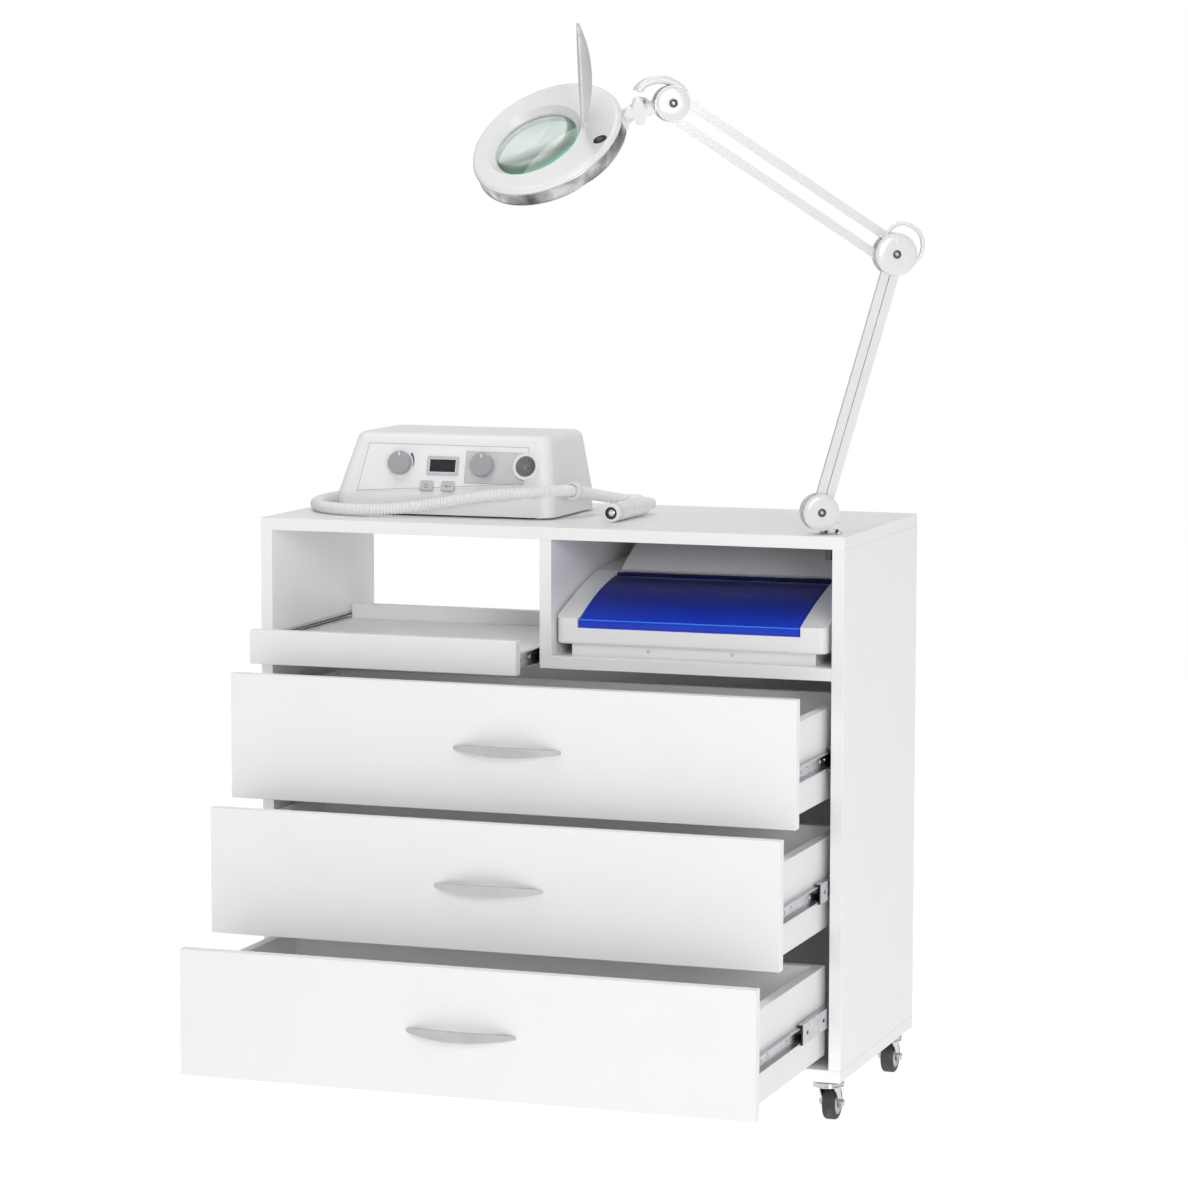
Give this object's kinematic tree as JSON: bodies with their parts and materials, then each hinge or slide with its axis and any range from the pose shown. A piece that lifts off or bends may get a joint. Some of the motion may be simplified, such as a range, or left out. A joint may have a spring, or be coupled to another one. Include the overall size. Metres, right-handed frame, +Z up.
{
  "type": "manicure table",
  "caption": "White manicure workstation on casters with pull-out drawers and tray, jointed magnifier lamp, drill and dust-suction unit and a tool steriliser.",
  "frame": {"origin": "on the floor under the middle of the cabinet", "axes": "+X to the right along the front, -Y out of the drawer fronts, +Z up"},
  "size_m": [0.9775, 0.774, 1.5727],
  "materials": {
    "white_board": "white melamine-faced board, satin",
    "drawer_grey": "pale grey lining board",
    "handle_nickel": "satin nickel",
    "runner_zinc": "bright zinc",
    "caster_chrome": "bright chrome",
    "brake_steel": "chromed tread with a black tip",
    "wheel_rubber": "dark grey rubber",
    "lamp_enamel": "white gloss enamel",
    "lamp_plastic": "white gloss",
    "band_steel": "brushed steel",
    "lens_glass": "ground and polished",
    "switch_black": "black gloss",
    "cover_plastic": "frosted, slightly clear",
    "unit_white": "white satin",
    "fascia_grey": "white sheet with grey lines",
    "control_grey": "grey satin",
    "hose_white": "ribbed white",
    "steriliser_white": "white gloss",
    "visor_blue": "clear blue"
  },
  "bodies": {
    "cabinet": {"top_panel": "white_board", "bottom_panel": "white_board", "left_side_panel": "white_board", "right_side_panel": "white_board", "bay_divider_and_shelf": "white_board", "back_panel": "white_board", "fixed_runners": "runner_zinc", "caster_plates": "caster_chrome", "drill_housing": "unit_white", "drill_fascia": "fascia_grey", "suction_hose": "hose_white", "drill_handpiece": "unit_white", "steriliser_body": "steriliser_white"},
    "drawer_1": {"drawer_1_front": "white_board", "drawer_1_box": "drawer_grey", "drawer_1_handle": "handle_nickel", "drawer_1_inner_runners": "runner_zinc"},
    "drawer_1_middle": {"drawer_1_middle_runners": "runner_zinc"},
    "drawer_2": {"drawer_2_front": "white_board", "drawer_2_box": "drawer_grey", "drawer_2_handle": "handle_nickel", "drawer_2_inner_runners": "runner_zinc"},
    "drawer_2_middle": {"drawer_2_middle_runners": "runner_zinc"},
    "drawer_3": {"drawer_3_front": "white_board", "drawer_3_box": "drawer_grey", "drawer_3_handle": "handle_nickel", "drawer_3_inner_runners": "runner_zinc"},
    "drawer_3_middle": {"drawer_3_middle_runners": "runner_zinc"},
    "tray": {"tray_deck": "white_board", "tray_inner_runners": "runner_zinc"},
    "tray_middle": {"tray_middle_runners": "runner_zinc"},
    "caster_front_left_fork": {"caster_front_left_fork": "caster_chrome"},
    "caster_front_left_wheel": {"caster_front_left_wheel": "wheel_rubber"},
    "caster_front_left_brake": {"caster_front_left_brake": "brake_steel"},
    "caster_front_right_fork": {"caster_front_right_fork": "caster_chrome"},
    "caster_front_right_wheel": {"caster_front_right_wheel": "wheel_rubber"},
    "caster_front_right_brake": {"caster_front_right_brake": "brake_steel"},
    "caster_rear_left_fork": {"caster_rear_left_fork": "caster_chrome"},
    "caster_rear_left_wheel": {"caster_rear_left_wheel": "wheel_rubber"},
    "caster_rear_right_fork": {"caster_rear_right_fork": "caster_chrome"},
    "caster_rear_right_wheel": {"caster_rear_right_wheel": "wheel_rubber"},
    "lamp_base": {"lamp_base_bracket": "lamp_enamel"},
    "lower_arm_main": {"lower_arm_main_bar": "lamp_enamel"},
    "lower_arm_second": {"lower_arm_second_bar": "lamp_enamel"},
    "lamp_elbow": {"lamp_elbow_bracket": "lamp_enamel"},
    "upper_arm_main": {"upper_arm_main_bar": "lamp_enamel"},
    "upper_arm_second": {"upper_arm_second_bar": "lamp_enamel"},
    "lamp_wrist": {"lamp_wrist_bracket": "lamp_enamel"},
    "head_yoke": {"head_yoke": "lamp_enamel"},
    "clamp_knob": {"clamp_knob": "lamp_plastic"},
    "magnifier_head": {"head_shell": "lamp_plastic", "head_band": "band_steel", "magnifier_lens": "lens_glass"},
    "lens_cover": {"lens_cover": "cover_plastic"},
    "lamp_switch": {"lamp_switch": "switch_black"},
    "suction_dial": {"suction_dial": "control_grey"},
    "speed_dial": {"speed_dial": "control_grey"},
    "power_button": {"power_button": "control_grey"},
    "direction_button": {"direction_button": "control_grey"},
    "steriliser_visor": {"steriliser_visor": "visor_blue"}
  },
  "joints": [
    {"name": "drawer_1_slide", "type": "slide", "parent": "cabinet", "child": "drawer_1", "axis": [0, -1, 0], "range_m": [-0.16, 0.19]},
    {"name": "drawer_1_middle_slide", "type": "slide", "parent": "cabinet", "child": "drawer_1_middle", "axis": [0, -1, 0], "range_m": [-0.08, 0.095]},
    {"name": "drawer_2_slide", "type": "slide", "parent": "cabinet", "child": "drawer_2", "axis": [0, -1, 0], "range_m": [-0.234, 0.116]},
    {"name": "drawer_2_middle_slide", "type": "slide", "parent": "cabinet", "child": "drawer_2_middle", "axis": [0, -1, 0], "range_m": [-0.117, 0.058]},
    {"name": "drawer_3_slide", "type": "slide", "parent": "cabinet", "child": "drawer_3", "axis": [0, -1, 0], "range_m": [-0.343, 0.007]},
    {"name": "drawer_3_middle_slide", "type": "slide", "parent": "cabinet", "child": "drawer_3_middle", "axis": [0, -1, 0], "range_m": [-0.1715, 0.0035]},
    {"name": "tray_slide", "type": "slide", "parent": "cabinet", "child": "tray", "axis": [0, -1, 0], "range_m": [-0.09, 0.21]},
    {"name": "tray_middle_slide", "type": "slide", "parent": "cabinet", "child": "tray_middle", "axis": [0, -1, 0], "range_m": [-0.045, 0.105]},
    {"name": "caster_front_left_swivel", "type": "hinge", "parent": "cabinet", "child": "caster_front_left_fork", "pos_m": [-0.421, -0.16, 0.06], "axis": [0, 0, 1], "continuous": true},
    {"name": "caster_front_left_roll", "type": "hinge", "parent": "caster_front_left_fork", "child": "caster_front_left_wheel", "pos_m": [-0.421, -0.14, 0.025], "axis": [1, 0, 0], "continuous": true},
    {"name": "caster_front_left_brake_press", "type": "hinge", "parent": "caster_front_left_fork", "child": "caster_front_left_brake", "pos_m": [-0.421, -0.1355, 0.0565], "axis": [-1, 0, 0], "range_deg": [-2, 2]},
    {"name": "caster_front_right_swivel", "type": "hinge", "parent": "cabinet", "child": "caster_front_right_fork", "pos_m": [0.421, -0.16, 0.06], "axis": [0, 0, 1], "continuous": true},
    {"name": "caster_front_right_roll", "type": "hinge", "parent": "caster_front_right_fork", "child": "caster_front_right_wheel", "pos_m": [0.421, -0.14, 0.025], "axis": [1, 0, 0], "continuous": true},
    {"name": "caster_front_right_brake_press", "type": "hinge", "parent": "caster_front_right_fork", "child": "caster_front_right_brake", "pos_m": [0.421, -0.1355, 0.0565], "axis": [-1, 0, 0], "range_deg": [-2, 2]},
    {"name": "caster_rear_left_swivel", "type": "hinge", "parent": "cabinet", "child": "caster_rear_left_fork", "pos_m": [-0.421, 0.16, 0.06], "axis": [0, 0, 1], "continuous": true},
    {"name": "caster_rear_left_roll", "type": "hinge", "parent": "caster_rear_left_fork", "child": "caster_rear_left_wheel", "pos_m": [-0.421, 0.18, 0.025], "axis": [1, 0, 0], "continuous": true},
    {"name": "caster_rear_right_swivel", "type": "hinge", "parent": "cabinet", "child": "caster_rear_right_fork", "pos_m": [0.421, 0.16, 0.06], "axis": [0, 0, 1], "continuous": true},
    {"name": "caster_rear_right_roll", "type": "hinge", "parent": "caster_rear_right_fork", "child": "caster_rear_right_wheel", "pos_m": [0.421, 0.18, 0.025], "axis": [1, 0, 0], "continuous": true},
    {"name": "lamp_swivel", "type": "hinge", "parent": "cabinet", "child": "lamp_base", "pos_m": [0.416, -0.155, 0.854], "axis": [0, 0, 1], "range_deg": [-120, 120]},
    {"name": "lower_arm_lift", "type": "hinge", "parent": "lamp_base", "child": "lower_arm_main", "pos_m": [0.39314, -0.1682, 0.87405], "axis": [0.5, -0.866, 0], "range_deg": [-2, 45]},
    {"name": "lower_arm_second_lift", "type": "hinge", "parent": "lamp_base", "child": "lower_arm_second", "pos_m": [0.41115, -0.1578, 0.89715], "axis": [0.5, -0.866, 0], "range_deg": [-2, 45]},
    {"name": "elbow_level", "type": "hinge", "parent": "lower_arm_main", "child": "lamp_elbow", "pos_m": [0.48546, -0.1149, 1.23945], "axis": [0.5, -0.866, 0], "range_deg": [-45, 2]},
    {"name": "upper_arm_lift", "type": "hinge", "parent": "lamp_elbow", "child": "upper_arm_main", "pos_m": [0.49533, -0.1092, 1.268], "axis": [0.5, -0.866, 0], "range_deg": [-30, 58]},
    {"name": "upper_arm_second_lift", "type": "hinge", "parent": "lamp_elbow", "child": "upper_arm_second", "pos_m": [0.4936, -0.1102, 1.234], "axis": [0.5, -0.866, 0], "range_deg": [-30, 58]},
    {"name": "wrist_level", "type": "hinge", "parent": "upper_arm_main", "child": "lamp_wrist", "pos_m": [0.21491, -0.2711, 1.4794], "axis": [0.5, -0.866, 0], "range_deg": [-58, 30]},
    {"name": "head_roll", "type": "hinge", "parent": "lamp_wrist", "child": "head_yoke", "pos_m": [0.17351, -0.295, 1.46], "axis": [-0.8544, -0.4933, 0.1634], "range_deg": [-60, 35]},
    {"name": "head_tilt", "type": "hinge", "parent": "head_yoke", "child": "magnifier_head", "pos_m": [0.17351, -0.295, 1.46], "axis": [0.3068, -0.7326, -0.6076], "range_deg": [-55, 20]},
    {"name": "clamp_knob_turn", "type": "hinge", "parent": "head_yoke", "child": "clamp_knob", "pos_m": [0.17351, -0.295, 1.46], "axis": [0.3068, -0.7326, -0.6076], "range_deg": [-90, 90]},
    {"name": "lens_cover_hinge", "type": "hinge", "parent": "magnifier_head", "child": "lens_cover", "pos_m": [0.09701, -0.31015, 1.43964], "axis": [-0.3068, 0.7326, 0.6076], "range_deg": [-110, 5]},
    {"name": "lamp_switch_press", "type": "slide", "parent": "magnifier_head", "child": "lamp_switch", "axis": [0.153, 0.668, -0.7282], "range_m": [0, 0.0012], "stiffness_N_per_m": 400, "springref_m": -0.001},
    {"name": "suction_dial_turn", "type": "hinge", "parent": "cabinet", "child": "suction_dial", "pos_m": [-0.269, -0.09297, 0.93227], "axis": [0, -0.9669, 0.255], "range_deg": [-140, 140]},
    {"name": "speed_dial_turn", "type": "hinge", "parent": "cabinet", "child": "speed_dial", "pos_m": [-0.138, -0.09297, 0.93227], "axis": [0, -0.9669, 0.255], "range_deg": [-140, 140]},
    {"name": "power_button_press", "type": "slide", "parent": "cabinet", "child": "power_button", "axis": [0, 0.9669, -0.255], "range_m": [0, 0.0012], "stiffness_N_per_m": 400, "springref_m": -0.001},
    {"name": "direction_button_press", "type": "slide", "parent": "cabinet", "child": "direction_button", "axis": [0, 0.9669, -0.255], "range_m": [0, 0.0012], "stiffness_N_per_m": 400, "springref_m": -0.001},
    {"name": "visor_lift", "type": "hinge", "parent": "cabinet", "child": "steriliser_visor", "pos_m": [0.217, -0.013, 0.7685], "axis": [-1, 0, 0], "range_deg": [0, 28]}
  ],
  "couplings": [
    {"joint": "drawer_1_middle_slide", "follows": "drawer_1_slide", "ratio": 0.5},
    {"joint": "drawer_2_middle_slide", "follows": "drawer_2_slide", "ratio": 0.5},
    {"joint": "drawer_3_middle_slide", "follows": "drawer_3_slide", "ratio": 0.5},
    {"joint": "tray_middle_slide", "follows": "tray_slide", "ratio": 0.5},
    {"joint": "lower_arm_second_lift", "follows": "lower_arm_lift", "ratio": 1},
    {"joint": "elbow_level", "follows": "lower_arm_lift", "ratio": -1},
    {"joint": "upper_arm_second_lift", "follows": "upper_arm_lift", "ratio": 1},
    {"joint": "wrist_level", "follows": "upper_arm_lift", "ratio": -1}
  ]
}
